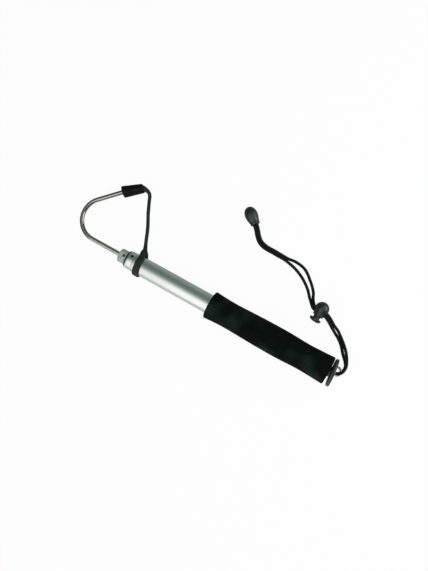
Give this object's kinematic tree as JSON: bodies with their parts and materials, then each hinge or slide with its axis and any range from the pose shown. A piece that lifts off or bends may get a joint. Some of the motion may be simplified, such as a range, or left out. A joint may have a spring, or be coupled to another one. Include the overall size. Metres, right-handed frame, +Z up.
{
  "type": "fishing gaff",
  "caption": "Compact telescopic gaff: round-rod hook with a rubber point guard on a strap, contoured foam grip, and a doubled cord lanyard with a spring lock and a bell.",
  "frame": {"origin": "on the ground, under the middle of the closed gaff without its lanyard", "axes": "+X along the pole from the hook to the butt, +Y towards the hook's open side, +Z up"},
  "size_m": [0.3525, 0.1372, 0.0326],
  "materials": {
    "satin_aluminium": "satin anodised",
    "hook_steel": "polished stainless rod",
    "machined_steel": "bright turned",
    "spring_steel": "bright wire",
    "black_foam": "matt closed-cell foam",
    "black_rubber": "soft satin",
    "black_plastic": "moulded",
    "white_nylon": "machined",
    "black_cord": "braided"
  },
  "bodies": {
    "handle": {"outer_tube": "satin_aluminium", "foam_grip": "black_foam", "butt_plug": "black_plastic", "plug_pin_upper": "machined_steel", "plug_pin_lower": "machined_steel", "butt_cap": "black_plastic", "cap_screw": "machined_steel", "lanyard_staple": "machined_steel", "cord_outer_strand": "black_cord", "cord_bight": "black_cord", "cord_inner_strand": "black_cord", "cord_knot": "black_cord", "cord_lock_housing": "black_plastic", "cord_lock_spring": "spring_steel", "cord_bell": "black_plastic", "cord_bell_plug": "black_plastic"},
    "middle_slider": {"middle_tail_bush": "white_nylon", "middle_brake_ring": "black_rubber"},
    "middle_section": {"middle_tube": "satin_aluminium", "middle_collar": "satin_aluminium", "collar_grub_screw": "machined_steel"},
    "hook_slider": {"inner_tail_bush": "white_nylon", "inner_brake_ring": "black_rubber"},
    "hook_section": {"inner_tube": "satin_aluminium", "tip_plug": "satin_aluminium", "buffer_washer": "black_rubber", "hex_ferrule": "machined_steel", "ferrule_pin": "machined_steel", "hook": "hook_steel", "guard_strap": "black_rubber", "guard_loop": "black_rubber"},
    "point_guard": {"guard_sleeve": "black_rubber"},
    "lock_plunger": {"cord_lock_plunger": "black_plastic"}
  },
  "joints": [
    {"name": "middle_slide", "type": "slide", "parent": "handle", "child": "middle_slider", "axis": [-1, 0, 0], "range_m": [0, 0.223]},
    {"name": "middle_turn", "type": "hinge", "parent": "middle_slider", "child": "middle_section", "pos_m": [0.13715, -0.03343, 0.0163], "axis": [1, 0, 0], "continuous": true},
    {"name": "hook_slide", "type": "slide", "parent": "middle_section", "child": "hook_slider", "axis": [-1, 0, 0], "range_m": [0, 0.2135]},
    {"name": "hook_turn", "type": "hinge", "parent": "hook_slider", "child": "hook_section", "pos_m": [0.11815, -0.03343, 0.0163], "axis": [1, 0, 0], "continuous": true},
    {"name": "guard_pull", "type": "slide", "parent": "hook_section", "child": "point_guard", "axis": [0.7193, 0.6947, 0], "range_m": [0, 0.03], "deforming": ["guard_strap"]},
    {"name": "lock_press", "type": "slide", "parent": "handle", "child": "lock_plunger", "axis": [0.0906, 0.9959, 0], "range_m": [0, 0.0025], "stiffness_N_per_m": 600, "springref_m": -0.002, "deforming": ["cord_lock_spring"]}
  ]
}
